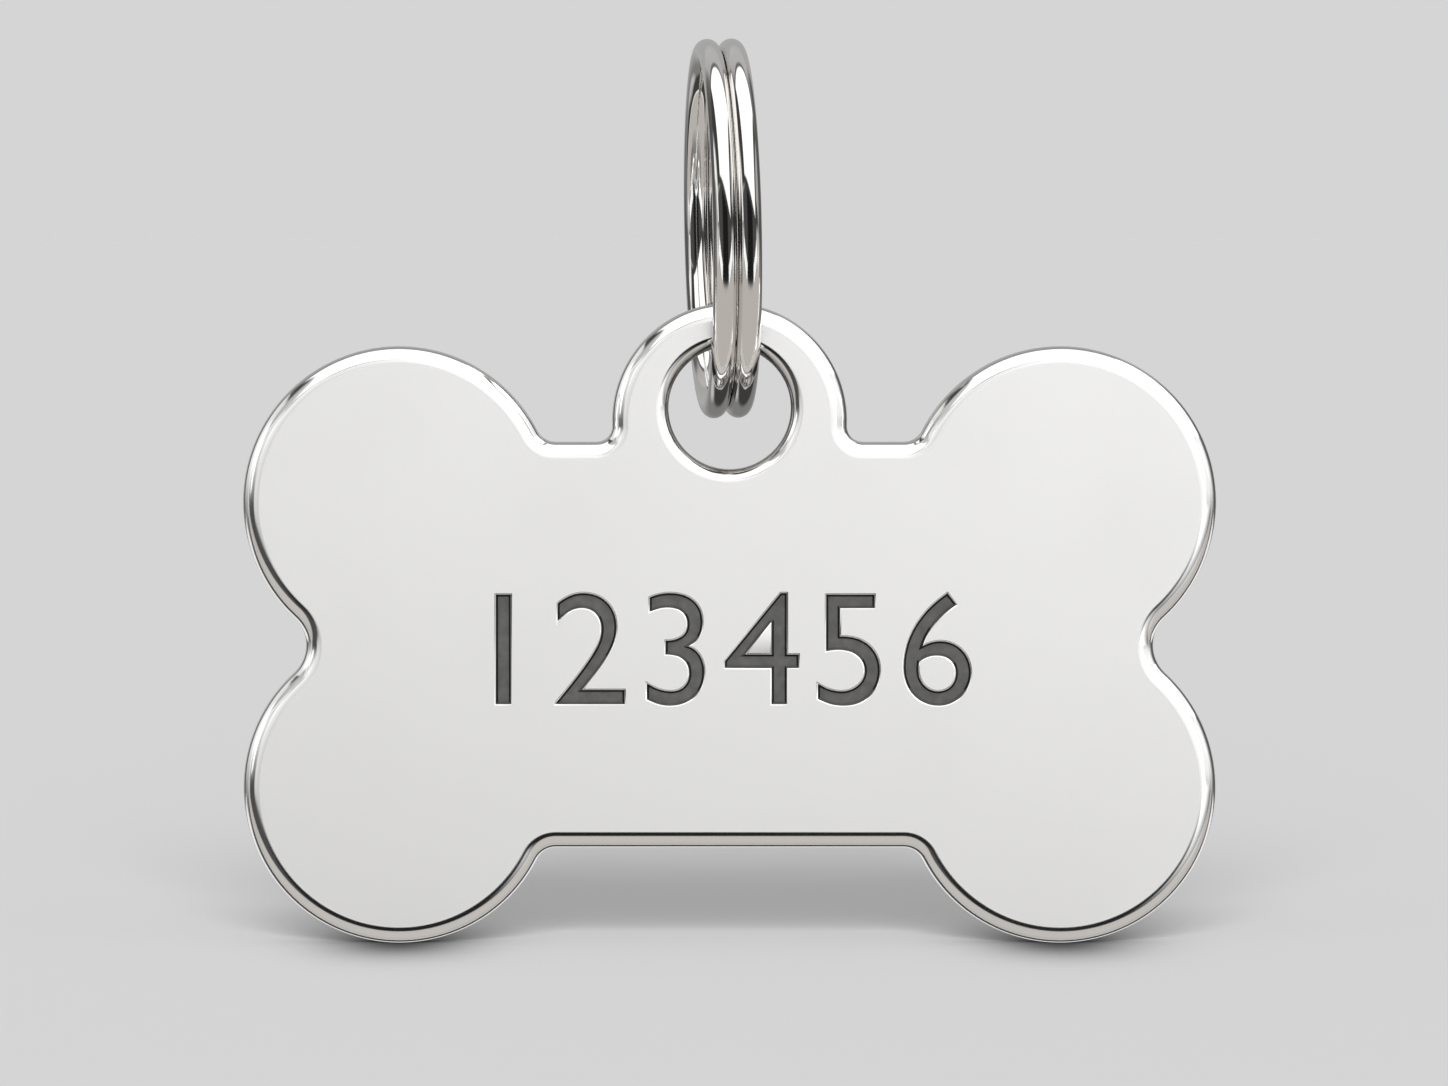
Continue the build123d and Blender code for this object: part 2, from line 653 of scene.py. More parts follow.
@dataclass
class BonePlate:
    """The plate: four lobes, a straight body and the hanging tab, with every edge rounded.

    Attributes:
        figures: Figures cut into the front.
        lobe_radius: Radius of each lobe.
        lobe_overlap: How far an upper lobe's circle reaches into the one below it.
        valley_depth: From the top of the lobes down to the straight edge.
        shoulder_flat: Straight stretch between the tab's foot and a lobe's foot.
        lobe_notch_round: Hollow between the lobes at each end.
        lobe_foot_round: Hollow where a lobe meets the straight edge.
        hole_diameter: Diameter of the tab's hole.
        tab_side_wall: Metal beside the hole.
        tab_top_wall: Metal above the hole.
        tab_lift: Height of the tab's centre above the straight edge.
        tab_foot_round: Hollow where the tab meets the straight edge.
        edge_round: Round of the outer edges.
        hole_round: Round of the hole's edges.
        chord_error: Most that the outline may stray from its arcs.
        edge_rows: Rows of faces across an edge's round.
        hole_rows: Rows of faces across the hole's round.
        hole_search: Share of the hole's radius within which a rim belongs to the hole.
        sharp_angle: Angle above which an edge is shaded sharp.
        flat_share: Share of a face's normal along the plate's thickness above which it is no wall.
        level_share: Share of it above which the face counts as level.
        lit_share: Upward share of a cut wall's normal below which the wall gets the darker film, painted
            shade where it faces away from the light.
        face_band: Depth below a broad face within which a level face belongs to it.
        cut_share: Share of the cut's depth down to which a face belongs to the cut.
    """

    figures: EngravedFigures
    lobe_radius: float = 6.1 * MM
    lobe_overlap: float = 1.0 * MM
    valley_depth: float = 3.75 * MM
    shoulder_flat: float = 1.6 * MM
    lobe_notch_round: float = 1.5 * MM
    lobe_foot_round: float = 0.8 * MM
    hole_diameter: float = 4.8 * MM
    tab_side_wall: float = 2.2 * MM
    tab_top_wall: float = 1.72 * MM
    tab_lift: float = 0.85 * MM
    tab_foot_round: float = 0.63 * MM
    edge_round: float = 0.65 * MM
    hole_round: float = 0.5 * MM
    chord_error: float = 0.0015 * MM
    edge_rows: int = 14
    hole_rows: int = 12
    hole_search: float = 1.2
    sharp_angle: float = math.radians(40)
    flat_share: float = 0.5
    level_share: float = 0.9995
    lit_share: float = 0.5
    face_band: float = 0.07 * MM
    cut_share: float = 1.01

    def __post_init__(self) -> None:
        """Work out the heights and half widths, and take the plate's place from the frame."""
        low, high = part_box(Node.PLATE.value)
        self.front_y, self.back_y = low.y, high.y
        self.hole_radius = self.hole_diameter / 2
        self.tab_radius = self.hole_radius + self.tab_side_wall
        rise = 2 * self.lobe_radius - self.lobe_overlap
        self.middle_z = self.lobe_radius + rise / 2
        self.upper_lobe_z = self.lobe_radius + rise
        self.upper_edge_z = self.upper_lobe_z + self.lobe_radius - self.valley_depth
        self.tab_z = self.upper_edge_z + self.tab_lift
        self.hole_z = self.tab_z + self.tab_radius - self.tab_top_wall - self.hole_radius
        self.tab_foot_x = math.sqrt(
            (self.tab_radius + self.tab_foot_round) ** 2 - (self.tab_lift - self.tab_foot_round) ** 2
        )
        self.lobe_foot_x = self.tab_foot_x + self.shoulder_flat
        foot_rise = self.upper_edge_z + self.lobe_foot_round - self.upper_lobe_z
        self.lobe_x = self.lobe_foot_x + math.sqrt(
            (self.lobe_radius + self.lobe_foot_round) ** 2 - foot_rise**2
        )
        self.notch_x = self.lobe_x + math.sqrt(
            (self.lobe_radius + self.lobe_notch_round) ** 2 - (rise / 2) ** 2
        )

    def at(self, x: float, z: float) -> Vector:
        """Give a point of the front face."""
        return Vector((x, self.front_y, z))

    def half_outline(self, bm: BMesh) -> None:
        """Draw the right half of the front face, with the right half of the hole.

        Args:
            bm: Bmesh that it is drawn in.
        """
        lower_edge_z = 2 * self.middle_z - self.upper_edge_z
        lower_lobe = self.at(self.lobe_x, self.lobe_radius)
        upper_lobe = self.at(self.lobe_x, self.upper_lobe_z)
        notch = self.at(self.notch_x, self.middle_z)
        lower_foot = self.at(self.lobe_foot_x, lower_edge_z - self.lobe_foot_round)
        upper_foot = self.at(self.lobe_foot_x, self.upper_edge_z + self.lobe_foot_round)
        tab = self.at(0.0, self.tab_z)
        tab_foot = self.at(self.tab_foot_x, self.upper_edge_z + self.tab_foot_round)
        hole = self.at(0.0, self.hole_z)

        def touch(lobe: Vector, other: Vector) -> Vector:
            """Give the point of a lobe's circle that faces another centre."""
            return lobe + (other - lobe).normalized() * self.lobe_radius

        pen = OutlinePen(bm, self.at(0.0, lower_edge_z), self.chord_error)
        pen.line(self.at(self.lobe_foot_x, lower_edge_z))
        pen.arc(lower_foot, touch(lower_lobe, lower_foot), Turn.RIGHT)
        pen.arc(lower_lobe, touch(lower_lobe, notch), Turn.LEFT)
        pen.arc(notch, touch(upper_lobe, notch), Turn.RIGHT)
        pen.arc(upper_lobe, touch(upper_lobe, upper_foot), Turn.LEFT)
        pen.arc(upper_foot, self.at(self.lobe_foot_x, self.upper_edge_z), Turn.RIGHT)
        pen.line(self.at(self.tab_foot_x, self.upper_edge_z))
        pen.arc(tab_foot, tab + (tab_foot - tab).normalized() * self.tab_radius, Turn.RIGHT)
        pen.arc(tab, tab + UP * self.tab_radius, Turn.LEFT)
        pen.line(hole + UP * self.hole_radius)
        pen.arc(hole, hole - UP * self.hole_radius, Turn.RIGHT)
        pen.line(self.at(0.0, lower_edge_z))

    def blank(self) -> bpy.types.Object:
        """Make the plate before it is engraved.

        Returns:
            An object with the rounded plate.
        """
        bm = bmesh.new()
        self.half_outline(bm)
        bmesh.ops.remove_doubles(bm, verts=bm.verts, dist=SAME_POINT)
        bmesh.ops.contextual_create(bm, geom=bm.edges)
        bmesh.ops.mirror(bm, geom=bm.verts[:] + bm.edges[:] + bm.faces[:], axis="X", merge_dist=SAME_POINT)
        bmesh.ops.recalc_face_normals(bm, faces=bm.faces)
        sheet = bmesh.ops.extrude_face_region(bm, geom=bm.faces[:], use_keep_orig=True)
        moved = [item for item in sheet["geom"] if isinstance(item, BMVert)]
        bmesh.ops.translate(bm, verts=moved, vec=TOWARDS_BACK * (self.back_y - self.front_y))
        bmesh.ops.recalc_face_normals(bm, faces=bm.faces)
        rims = [edge for edge in bm.edges if self.is_rim(edge)]
        outer = [edge for edge in rims if not self.is_by_hole(edge)]
        inner = [edge for edge in rims if self.is_by_hole(edge)]
        round_edges(bm, outer, self.edge_round, self.edge_rows, clamped=False)
        round_edges(bm, inner, self.hole_round, self.hole_rows, clamped=False)
        return add_object("engraved_plate", mesh_from(bm, "engraved_plate"))

    def is_rim(self, edge: BMEdge) -> bool:
        """Tell whether an edge lies between a broad face and a wall."""
        flat = [abs(face.normal.dot(TOWARDS_FRONT)) > self.flat_share for face in edge.link_faces]
        return len(flat) == 2 and flat[0] != flat[1]

    def is_by_hole(self, edge: BMEdge) -> bool:
        """Tell whether an edge lies round the hole."""
        reach = self.hole_search * self.hole_radius
        return all(math.hypot(vert.co.x, vert.co.z - self.hole_z) < reach for vert in edge.verts)

    def engrave(self, plate: bpy.types.Object) -> None:
        """Cut the figures into the plate's front.

        Args:
            plate: Object with the blank plate.
        """
        cutter = self.figures.cutter(self.front_y)
        cut = plate.modifiers.new("engraving", "BOOLEAN")
        cut.operation = "DIFFERENCE"
        cut.solver = "EXACT"
        cut.use_self = True
        cut.object = cutter
        mesh = evaluated_mesh(plate)
        plate.modifiers.remove(cut)
        bpy.data.objects.remove(cutter)
        bm = bmesh.new()
        bm.from_mesh(mesh)
        bpy.data.meshes.remove(mesh)
        self.drop_flaps(bm)
        for face in bm.faces:
            face.material_index = self.finish_of(face).value
        bm.to_mesh(plate.data)
        bm.free()

    @staticmethod
    def drop_flaps(bm: BMesh) -> None:
        """Remove the pairs of faces, back to back, that a cut leaves where its walls meet sharply.

        Args:
            bm: Bmesh of the engraved plate.
        """
        twins: dict[frozenset[BMVert], list[BMFace]] = {}
        for face in bm.faces:
            twins.setdefault(frozenset(face.verts), []).append(face)
        flaps = [face for faces in twins.values() if len(faces) > 1 for face in faces]
        bmesh.ops.delete(bm, geom=flaps, context="FACES")

    def finish_of(self, face: BMFace) -> PlateFinish:
        """Tell which finish a face has.

        Args:
            face: Face of the engraved plate.

        Returns:
            The finish of a rounded edge, of a broad face, or of the floor or a wall of a cut, with painted
            shade on the walls that face away from the light.
        """
        middle = face.calc_center_median()
        below = middle.y - self.front_y
        level = abs(face.normal.y) > self.level_share
        figures = self.figures
        in_line = abs(middle.x) < self.lobe_x and abs(middle.z - figures.middle_z) < figures.cap_height
        if in_line and figures.lip - figures.proud < below < self.cut_share * figures.depth:
            # Walls that face sideways or down get the darker film: painted shade.
            shaded = not level and face.normal.z < self.lit_share
            return PlateFinish.THICK_FILM if shaded else PlateFinish.THIN_FILM
        broad = level and min(below, self.back_y - middle.y) < self.face_band
        return PlateFinish.SATIN_FACE if broad else PlateFinish.POLISHED_EDGE

    def build(self, finishes: dict[PlateFinish, bpy.types.Material]) -> bpy.types.Object:
        """Make the finished plate and hand it to its body.

        Args:
            finishes: Material of each finish.

        Returns:
            The finished piece.
        """
        plate = self.blank()
        self.engrave(plate)
        for finish in PlateFinish:
            plate.data.materials.append(finishes[finish])
        finish_normals(plate, self.sharp_angle)
        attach(plate, Body.TAG.value)
        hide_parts(Node.PLATE.value)
        return plate


@dataclass
class SplitRing:
    """The wire ring: two coils side by side, a step between them and two cut ends.

    Attributes:
        centre: Middle of the ring.
        outer_diameter: Outside diameter of the ring.
        wire_diameter: Diameter of the wire.
        coil_gap: Air between the coils, which spring tightly together.
        step_angle: Part of a turn in which the wire steps to the other coil.
        end_clearance: Along the wire, from each cut end to the step beside it.
        end_round: Broken edge of the cut ends.
        end_rows: Rows of faces across it.
        first_end_angle: Place of the right coil's end, from the top towards the front.
        lean: Angle by which the ring's top leans to the left.
        yaw: Angle by which the ring's front is turned to the right.
        wire_sides: Sides of the wire's section.
        turn_steps: Steps along a full turn.
        least_steps: Fewest steps along a stretch.
        sharp_angle: Angle above which an edge is shaded sharp.
    """

    centre: Vector
    outer_diameter: float = 15.0 * MM
    wire_diameter: float = 0.95 * MM
    coil_gap: float = 0.012 * MM
    step_angle: float = math.radians(18.0)
    end_clearance: float = 0.12 * MM
    end_round: float = 0.15 * MM
    end_rows: int = 5
    first_end_angle: float = math.radians(-117.0)
    lean: float = math.radians(1.1)
    yaw: float = math.radians(4.8)
    wire_sides: int = 48
    turn_steps: int = 180
    least_steps: int = 12
    sharp_angle: float = math.radians(50)

    def __post_init__(self) -> None:
        """Work out the ring's own directions and its radii."""
        turned = Matrix.Rotation(self.yaw, 3, "Z")
        self.front = turned @ TOWARDS_FRONT
        self.up = turned @ Vector((-math.sin(self.lean), 0.0, math.cos(self.lean)))
        self.right = turned @ Vector((math.cos(self.lean), 0.0, math.sin(self.lean)))
        self.wire_radius = self.wire_diameter / 2
        self.coil_radius = self.outer_diameter / 2 - self.wire_radius
        self.coil_offset = (self.wire_diameter + self.coil_gap) / 2
        self.coil_turn = math.tau - self.step_angle - self.end_clearance / self.coil_radius

    def outward(self, angle: float) -> Vector:
        """Give the direction out of the ring's middle at an angle from its top towards the front."""
        return self.up * math.cos(angle) + self.front * math.sin(angle)

    def along(self, angle: float) -> Vector:
        """Give the direction in which the wire runs at an angle."""
        return self.front * math.cos(angle) - self.up * math.sin(angle)

    def step_reach(self) -> float:
        """Work out how far from the ring's middle the two arcs of the step meet.

        Returns:
            The radius at which both arcs share one tangent.
        """
        half = self.step_angle / 2
        half_chord = self.coil_radius * math.sin(half)
        share = half_chord * math.cos(half)
        bulge = math.sqrt(share**2 + (half_chord**2 + self.coil_offset**2) * math.sin(half) ** 2) - share
        return self.coil_radius * math.cos(half) + bulge / math.sin(half)

    def wind(
        self, bm: BMesh, loop: list[BMEdge], centre: Vector, axis: Vector, angle: float
    ) -> list[BMEdge]:
        """Carry the wire's section round an axis.

        Args:
            bm: Bmesh of the wire.
            loop: Edges of the section where the stretch starts.
            centre: Point on the axis.
            axis: Direction of the axis.
            angle: Angle of the stretch.

        Returns:
            Edges of the section where the stretch ends.
        """
        spun = bmesh.ops.spin(
            bm,
            geom=loop,
            cent=centre,
            axis=axis,
            angle=angle,
            steps=max(self.least_steps, math.ceil(self.turn_steps * angle / math.tau)),
        )
        return [item for item in spun["geom_last"] if isinstance(item, BMEdge)]

    def wind_to(
        self, bm: BMesh, loop: list[BMEdge], start: Vector, tangent: Vector, end: Vector
    ) -> tuple[list[BMEdge], Vector]:
        """Carry the wire's section along the arc that leaves along a tangent and reaches a point.

        Args:
            bm: Bmesh of the wire.
            loop: Edges of the section where the arc starts.
            start: First point of the arc.
            tangent: Direction of the wire there.
            end: Last point of the arc.

        Returns:
            Edges of the section where the arc ends, and the wire's direction there.
        """
        chord = end - start
        axis = tangent.cross(chord).normalized()
        angle = 2 * tangent.angle(chord)
        radius = chord.length / (2 * math.sin(angle / 2))
        centre = start + axis.cross(tangent).normalized() * radius
        ends = self.wind(bm, loop, centre, axis, angle)
        return ends, Matrix.Rotation(angle, 3, axis) @ tangent

    def build(self, metal: bpy.types.Material) -> bpy.types.Object:
        """Wind the ring, close its ends and hand it to its body.

        Args:
            metal: Finish of the wire.

        Returns:
            The finished piece.
        """
        first = self.first_end_angle
        step_first = first + self.coil_turn
        step_last = step_first + self.step_angle
        side = self.right * self.coil_offset
        start = self.centre + self.outward(first) * self.coil_radius + side
        facing = self.along(first).to_track_quat("Z", "Y").to_matrix().to_4x4()
        bm = bmesh.new()
        bmesh.ops.create_circle(
            bm, segments=self.wire_sides, radius=self.wire_radius, matrix=Matrix.Translation(start) @ facing
        )
        first_loop = bm.edges[:]
        loop = self.wind(bm, first_loop, self.centre + side, self.right, self.coil_turn)
        step_start = self.centre + self.outward(step_first) * self.coil_radius + side
        step_middle = self.centre + self.outward((step_first + step_last) / 2) * self.step_reach()
        step_end = self.centre + self.outward(step_last) * self.coil_radius - side
        loop, heading = self.wind_to(bm, loop, step_start, self.along(step_first), step_middle)
        loop, heading = self.wind_to(bm, loop, step_middle, heading, step_end)
        loop = self.wind(bm, loop, self.centre - side, self.right, self.coil_turn)
        for ends in (first_loop, loop):
            bmesh.ops.contextual_create(bm, geom=ends)
        round_edges(bm, first_loop + loop, self.end_round, self.end_rows, clamped=True)
        bmesh.ops.recalc_face_normals(bm, faces=bm.faces)
        ring = add_object("ring_wire", mesh_from(bm, "ring_wire"))
        ring.data.materials.append(metal)
        finish_normals(ring, self.sharp_angle)
        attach(ring, Body.RING.value)
        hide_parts(Node.RING.value)
        return ring


def direction(azimuth: float, elevation: float) -> Vector:
    """Give the direction at an angle round the tag, from its front to the right, and above the horizon."""
    level = math.cos(elevation)
    return Vector((math.sin(azimuth) * level, -math.cos(azimuth) * level, math.sin(elevation)))


@dataclass
class PhotoView:
    """The camera: a long lens, straight in front of the tag and a little above its middle.

    Attributes:
        plate_y: Place of the plate's middle, from front to back.
        azimuth: Angle round the tag, positive to the right.
        elevation: Angle above the horizon.
        distance: From the camera to the plate.
        view_width: Width of the picture at the plate.
        middle_x: Point of the plate at the picture's middle, across.
        middle_z: Point of the plate at the picture's middle, up.
        sensor: Width of the sensor in millimetres.
        near: Least distance that is drawn.
        far: Greatest distance that is drawn.
    """

    plate_y: float
    azimuth: float = 0.0
    elevation: float = math.radians(2.2)
    distance: float = 340.0 * MM
    view_width: float = 56.8 * MM
    middle_x: float = -0.22 * MM
    middle_z: float = 15.685 * MM
    sensor: float = 36.0
    near: float = 0.01
    far: float = 50.0

    def build(self) -> bpy.types.Object:
        """Make the camera and use it.

        Returns:
            The camera.
        """
        data = bpy.data.cameras.new("photo_view")
        data.sensor_width = self.sensor
        data.lens = self.sensor * self.distance / self.view_width
        data.clip_start = self.near
        data.clip_end = self.far
        camera = add_object("photo_view", data)
        back = direction(self.azimuth, self.elevation)
        target = Vector((self.middle_x, self.plate_y, self.middle_z))
        camera.location = target + back * self.distance
        camera.rotation_euler = (-back).to_track_quat("-Z", "Y").to_euler()
        bpy.context.scene.camera = camera
        return camera


@dataclass(frozen=True)
class TentZone:
    """One patch of the lighting tent that shines in the metal.

    Tilt runs from the front (0) over the top (90) to the back (180), and is negative below.
    Side runs from the left (-90) to the right (90). Both are in degrees.

    Attributes:
        light: Light of the patch.
        low: Tilt where the patch starts.
        high: Tilt where it ends.
        left: Side where it starts.
        right: Side where it ends.
        low_slant: How much the lower tilt grows with each degree of side.
        soft: Width of its blurred border.
        both: Whether it lies on both sides alike, with sides counted from the middle outwards.
    """

    light: tuple[float, float, float]
    low: float
    high: float
    left: float = -95.0
    right: float = 95.0
    low_slant: float = 0.0
    soft: float = 3.0
    both: bool = False


def grey(tone: float) -> tuple[float, float, float]:
    """Give a neutral colour."""
    return (tone, tone, tone)


@dataclass(frozen=True)
class StudioCard:
    """A reflecting card that lights one piece alone.

    Angles are in degrees. A fade is the share of the card over which its light dies out towards one
    border, 0 for a crisp border.

    Attributes:
        name: Name of the card.
        light: Light of the card.
        azimuth: Angle of its middle round the plate, from the front to the right.
        elevation: Angle of its middle above the horizon.
        reach: Angle that it covers to each side of its middle.
        rise: Angle that it covers above and below its middle.
        fade_from: Fade at the border of lowest azimuth.
        fade_to: Fade at the border of highest azimuth.
        fade_low: Fade at its foot.
        fade_high: Fade at its top.
        roll: Angle by which its border of highest azimuth is raised.
        lights: Piece that it lights.
        distance: From the plate to the card.
    """

    name: str
    light: float
    azimuth: float
    elevation: float
    reach: float
    rise: float
    fade_from: float = 0.0
    fade_to: float = 0.0
    fade_low: float = 0.0
    fade_high: float = 0.0
    roll: float = 0.0
    lights: Node = Node.PLATE
    distance: float = 2.0

    def build(self, target: Vector) -> bpy.types.Object:
        """Make the card, facing the plate.

        Args:
            target: Middle of the plate.

        Returns:
            The card's lamp.
        """
        lamp = bpy.data.lights.new(self.name, "AREA")
        lamp.shape = "RECTANGLE"
        lamp.size = 2 * self.distance * math.tan(math.radians(self.reach))
        lamp.size_y = 2 * self.distance * math.tan(math.radians(self.rise))
        lamp.energy = math.pi * self.light * lamp.size * lamp.size_y
        card = add_object(self.name, lamp)
        outward = direction(math.radians(self.azimuth), math.radians(self.elevation))
        card.location = target + outward * self.distance
        rolled = Matrix.Rotation(math.radians(self.roll), 3, "Z").to_quaternion()
        facing = (-outward).to_track_quat("-Z", "Y") @ rolled
        card.rotation_euler = facing.to_euler()
        card.visible_camera = False
        self.soften(lamp)
        return card

    def soften(self, lamp: bpy.types.AreaLight) -> None:
        """Let the lamp's light die out towards its faded borders.

        Args:
            lamp: Lamp of the card.
        """
        lamp.use_nodes = True
        sums = NodeSums(lamp.node_tree)
        across, up, _ = sums.axes(sums.nodes.new("ShaderNodeNewGeometry").outputs["Parametric"])
        borders = (
            (across, self.fade_from, False),
            (across, self.fade_to, True),
            (up, self.fade_low, False),
            (up, self.fade_high, True),
        )
        strength: Term = 1.0
        for place, fade, at_end in borders:
            if fade:
                inward = sums.math("SUBTRACT", 1.0, place) if at_end else place
                share = sums.math("MINIMUM", sums.math("DIVIDE", inward, fade), 1.0)
                strength = sums.math("MULTIPLY", share, strength)
        sums.feed(sums.nodes["Emission"].inputs["Strength"], strength)


@dataclass
class Studio:
    """The room: a pale floor with painted shade under the lobes, an even sky, a soft lamp and a lighting
    tent that shines in the metal.

    Attributes:
        plate_centre: Middle of the plate's front.
        feet: Points where the lobes stand on the floor.
        floor_tone: Share of light that the floor gives back.
        floor_radius: Radius of the floor.
        floor_sides: Sides of the floor's round.
        backdrop: Light of the backdrop and of the lit floor.
        lamp: Light of the soft lamp on a surface that faces it.
        lamp_elevation: Angle of the lamp above the horizon.
        lamp_width: Angle that the lamp spans.
        bounced: Light that the metal throws on the floor.
        tent_turn: Angle by which the tent is turned to the right.
        contact_width: Reach to each side of the painted shade under a lobe.
        contact_depth: Reach to the front and the back of the painted shade under a lobe.
        contact_shade: Share of the floor's colour that the painted shade takes away under a lobe.
        behind: Light of the tent where no patch lies.
        zones: Patches of the tent, each over the ones before it.
        cards: Cards that light one piece each.
    """

    plate_centre: Vector
    feet: tuple[Vector, ...]
    floor_tone: float = 0.7
    floor_radius: float = 8.0
    floor_sides: int = 96
    backdrop: float = 0.665
    lamp: float = 3.4
    lamp_elevation: float = math.radians(21.0)
    lamp_width: float = math.radians(28.0)
    bounced: float = 0.1
    tent_turn: float = math.radians(4.8)
    contact_width: float = 2.8 * MM
    contact_depth: float = 7.0 * MM
    contact_shade: float = 0.9
    behind: tuple[float, float, float] = grey(0.42)
    zones: tuple[TentZone, ...] = (
        TentZone(grey(0.22), -172, -108, soft=30),
        TentZone(grey(0.05), -138, -108, soft=10),
        TentZone(grey(0.95), -114.5, -111, soft=2),
        TentZone((0.53, 0.505, 0.48), -112, -33, soft=2),
        TentZone(grey(0.34), 120, 142, left=-60, right=60, soft=14),
        TentZone(grey(0.10), 120, 195, left=34, right=92, soft=10, both=True),
        TentZone(grey(0.10), -195, -166, left=34, right=92, soft=8, both=True),
        TentZone(grey(0.07), -34, 30, left=-80, right=86, soft=6),
        TentZone(grey(0.012), -34, 30, left=-24, right=24, soft=12),
        TentZone(grey(0.05), 18, 121, left=-60, right=62, low_slant=-0.3, soft=5),
        TentZone(grey(1.3), 25, 115.5, left=-37, right=51, low_slant=-0.3, soft=3),
        TentZone(grey(1.0), 5, 120, left=-76, right=-64, soft=4),
    )
    cards: tuple[StudioCard, ...] = (
        StudioCard("card_front", 0.565, 4, 8.5, 44, 17.5, fade_low=0.08),
        StudioCard("card_front_right", 0.34, 39, 6, 47, 20, fade_from=0.2, fade_to=0.1, fade_low=0.3),
        StudioCard("card_front_up", 0.22, 6, 9.5, 42, 16.5, fade_low=0.3),
        StudioCard("card_front_top", 0.28, 4, 17, 50, 12, fade_low=1.0),
        StudioCard("card_right", 0.60, 84, 10, 36, 16, fade_to=0.3, fade_low=0.25),
        StudioCard("card_right_high", 1.0, 84, 46, 36, 22),
        StudioCard("card_right_low", 1.4, 48, -18, 30, 15, fade_from=0.15, fade_to=0.7, fade_low=1.0),
        StudioCard("card_left", 0.80, -98, 16, 28, 24, fade_from=0.2, fade_to=0.3, fade_low=0.4),
        StudioCard("card_left_front", 0.62, -53, 12, 16, 14, fade_to=0.1, fade_low=0.4),
        StudioCard("card_left_high", 0.50, -48, 40, 26, 16, fade_from=0.3),
        StudioCard("card_floor", 0.05, 0, -62, 60, 26),
        StudioCard("card_back", 0.70, 180, -24, 64, 12),
        StudioCard("ring_left", 0.5, -67, -6, 16, 9, 0.25, 0.25, 0.25, 0.25, lights=Node.RING),
        StudioCard("ring_right", 0.5, 77, -6, 16, 9, 0.25, 0.25, 0.25, 0.25, lights=Node.RING),
        StudioCard("ring_top", 0.16, 172, 51, 56, 20, 0.35, 0.35, 0.3, 0.3, lights=Node.RING),
        StudioCard("ring_under", 0.36, -137, -31, 14, 14, 0.3, 0.3, 0.3, 0.3, lights=Node.RING),
        StudioCard("ring_low_left", 1.05, -43, -17, 17, 5.5, roll=-31, lights=Node.RING),
        StudioCard("ring_low_right", 1.05, 53, -17, 17, 5.5, roll=31, lights=Node.RING),
    )

    def build(self, pieces: dict[Node, bpy.types.Object]) -> None:
        """Set up the whole room.

        Args:
            pieces: The pieces that the cards light.
        """
        self.floor()
        self.sky()
        self.soft_lamp()
        lit = {}
        for node, piece in pieces.items():
            lit[node] = bpy.data.collections.new(f"lit_{node.value}")
            lit[node].objects.link(piece)
        for card in self.cards:
            card.build(self.plate_centre).light_linking.receiver_collection = lit[card.lights]
        bpy.context.scene.view_settings.view_transform = "Standard"

    def floor(self) -> None:
        """Lay the floor."""
        bm = bmesh.new()
        bmesh.ops.create_circle(bm, cap_ends=True, segments=self.floor_sides, radius=self.floor_radius)
        floor = add_object("floor", mesh_from(bm, "floor"))
        paint, sums, shader = new_material("floor_with_painted_shade")
        # Painted shade under the lobes, laid into the floor's colour.
        self.paint_shade_under_feet(sums, shader.inputs["Base Color"])
        shader.inputs["Roughness"].default_value = 1.0
        shader.inputs["Specular IOR Level"].default_value = 0.0
        floor.data.materials.append(paint)
        floor.visible_glossy = False
        floor.visible_shadow = False

    def paint_shade_under_feet(self, sums: NodeSums, colour: Socket) -> None:
        """Paint shade into the floor's colour where the lobes stand on it and hardly any light gets in.

        Args:
            sums: Writer of the paint's nodes.
            colour: Socket of the paint's colour.
        """
        x, y, _ = sums.axes(sums.place())
        tone: Term = self.floor_tone
        for foot in self.feet:
            aside = sums.math("DIVIDE", sums.math("SUBTRACT", x, foot.x), self.contact_width)
            ahead = sums.math("DIVIDE", sums.math("SUBTRACT", y, foot.y), self.contact_depth)
            far = sums.squares(aside, ahead)
            lost = sums.math("EXPONENT", sums.math("MULTIPLY", far, -1.0))
            kept = sums.math("MULTIPLY_ADD", lost, -self.contact_shade, 1.0)
            tone = sums.math("MULTIPLY", kept, tone)
        sums.links.new(tone, colour)

    def soft_lamp(self) -> None:
        """Hang the lamp that throws the soft shadow behind the tag."""
        lamp = bpy.data.lights.new("soft_lamp", "SUN")
        lamp.energy = self.lamp
        lamp.angle = self.lamp_width
        hung = add_object("soft_lamp", lamp)
        towards = direction(0.0, self.lamp_elevation)
        hung.rotation_euler = towards.to_track_quat("Z", "Y").to_euler()
        hung.visible_glossy = False

    def sky(self) -> None:
        """Make the backdrop that the camera sees, the even sky light and the tent in the metal."""
        world = bpy.data.worlds.new("studio")
        bpy.context.scene.world = world
        world.use_nodes = True
        tree = world.node_tree
        sums = NodeSums(tree)
        ray = tree.nodes.new("ShaderNodeLightPath")
        tent = tree.nodes["Background"]
        unlit = sums.blend(ray.outputs["Diffuse Depth"], self.tent(sums), grey(self.bounced))
        tree.links.new(unlit, tent.inputs["Color"])
        from_lamp = self.floor_tone * self.lamp * math.sin(self.lamp_elevation) / math.pi
        even_tone = (self.backdrop - from_lamp) / self.floor_tone
        even, back = (
            sums.add("ShaderNodeBackground", {"Color": (*grey(tone), 1.0)}).outputs["Background"]
            for tone in (even_tone, self.backdrop)
        )
        in_metal = sums.choose(ray.outputs["Is Glossy Ray"], even, tent.outputs["Background"])
        seen = sums.choose(ray.outputs["Is Camera Ray"], in_metal, back)
        tree.links.new(seen, tree.nodes["World Output"].inputs["Surface"])

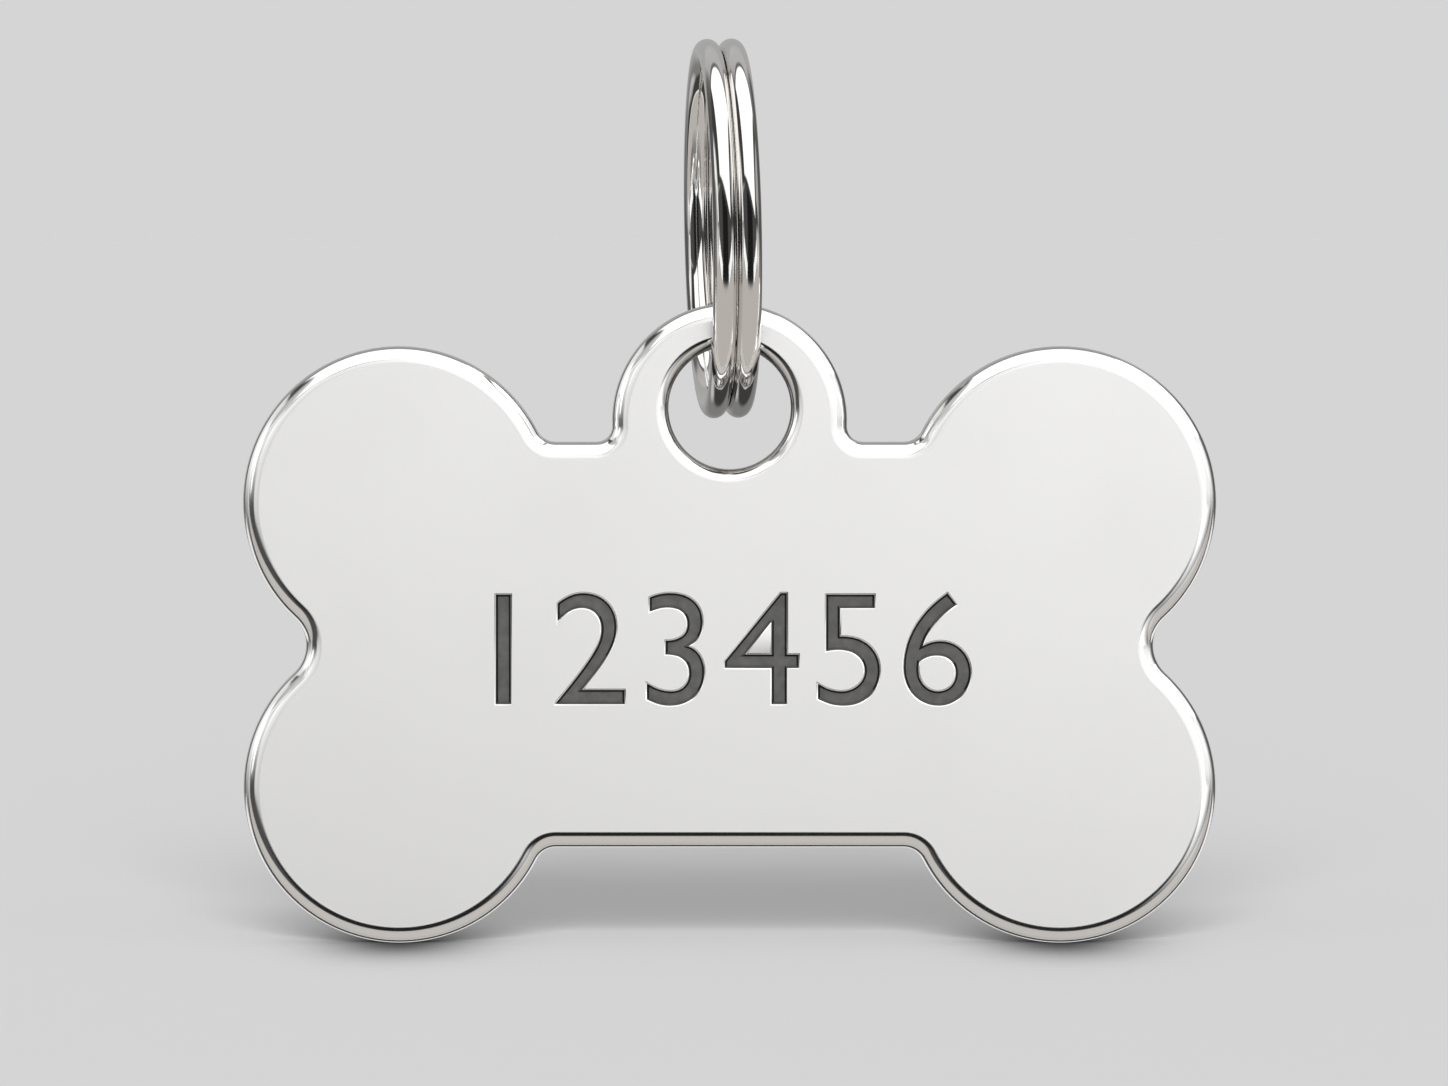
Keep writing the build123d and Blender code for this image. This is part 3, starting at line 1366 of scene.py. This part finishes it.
    def tent(self, sums: NodeSums) -> Socket:
        """Paint the tent, patch over patch.

        Args:
            sums: Writer of the world's nodes.

        Returns:
            Socket of the tent's light in each direction.
        """
        around = sums.nodes.new("ShaderNodeTexCoord").outputs["Generated"]
        terms = {"Vector": around, "Angle": -self.tent_turn}
        turned = sums.add("ShaderNodeVectorRotate", terms, rotation_type="Z_AXIS")
        x, y, z = sums.axes(turned.outputs["Vector"])
        tilt = sums.math("DEGREES", sums.math("ARCTAN2", z, sums.math("MULTIPLY", y, -1.0)))
        across = sums.math("DEGREES", sums.math("ARCSINE", x))
        outwards = sums.math("ABSOLUTE", across)
        base = sums.nodes.new("ShaderNodeRGB")
        base.outputs["Color"].default_value = (*self.behind, 1.0)
        light = base.outputs["Color"]
        for zone in self.zones:
            side = outwards if zone.both else across
            low = sums.math("MULTIPLY_ADD", side, zone.low_slant, zone.low)
            inside = (
                sums.math("SUBTRACT", tilt, low),
                sums.math("SUBTRACT", zone.high, tilt),
                sums.math("SUBTRACT", side, zone.left),
                sums.math("SUBTRACT", zone.right, side),
            )
            share: Term = 1.0
            for past_edge in inside:
                share = sums.math("MULTIPLY", sums.ramp(past_edge, -zone.soft / 2, zone.soft / 2), share)
            light = sums.blend(share, light, zone.light)
        return light


def main() -> None:
    """Load the frame, build each piece and set the studio."""
    logging.basicConfig(level=logging.INFO, format="%(name)s: %(message)s")
    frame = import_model()
    wear = HandledPolish().build()
    edge_metal = MetalFinish(
        "polished_steel", (0.90, 0.895, 0.885), roughness=0.10, smear=0.025, scratch=0.02
    ).material(wear)
    face_metal = MetalFinish(
        "satin_steel", (0.95, 0.945, 0.935), roughness=0.28, metallic=0.92
    ).material(wear)
    wire_metal = MetalFinish(
        "bright_nickel_wire", (0.86, 0.845, 0.825), roughness=0.05, smear_size=4 * MM, scratch_length=3 * MM
    ).material(wear)
    thin_film = DarkFilm("dark_film", deep=(0.055, 0.0545, 0.0535), worn=(0.076, 0.075, 0.073))
    # A darker copy of the oxide for the cut walls that face away from the light: painted shade.
    painted_shade_film = DarkFilm("dark_film_painted_shade", deep=(0.007, 0.007, 0.007), worn=(0.012, 0.012, 0.012))
    plate = BonePlate(EngravedFigures())
    # Painted shade round the hole, laid into the polished edges' colour.
    PaintedHoleShade(plate.at(0.0, plate.hole_z), plate.hole_radius).lay_on(edge_metal)
    mounts = {mount["name"]: mount for mount in frame["record"]["mounts"]}
    pieces = {
        Node.PLATE: plate.build(
            {
                PlateFinish.POLISHED_EDGE: edge_metal,
                PlateFinish.SATIN_FACE: face_metal,
                PlateFinish.THIN_FILM: thin_film.material(),
                PlateFinish.THICK_FILM: painted_shade_film.material(),
            }
        ),
        Node.RING: SplitRing(Vector(mounts["collar_loop"]["pos_m"])).build(wire_metal),
    }
    for piece in pieces.values():
        LOG.info("%s: %d faces", piece.name, len(piece.data.polygons))
    plate_y = (plate.front_y + plate.back_y) / 2
    PhotoView(plate_y).build()
    feet = tuple(Vector((x, plate_y, 0.0)) for x in (-plate.lobe_x, plate.lobe_x))
    Studio(plate_centre=plate.at(0.0, plate.middle_z), feet=feet).build(pieces)


if __name__ == "__main__":
    main()
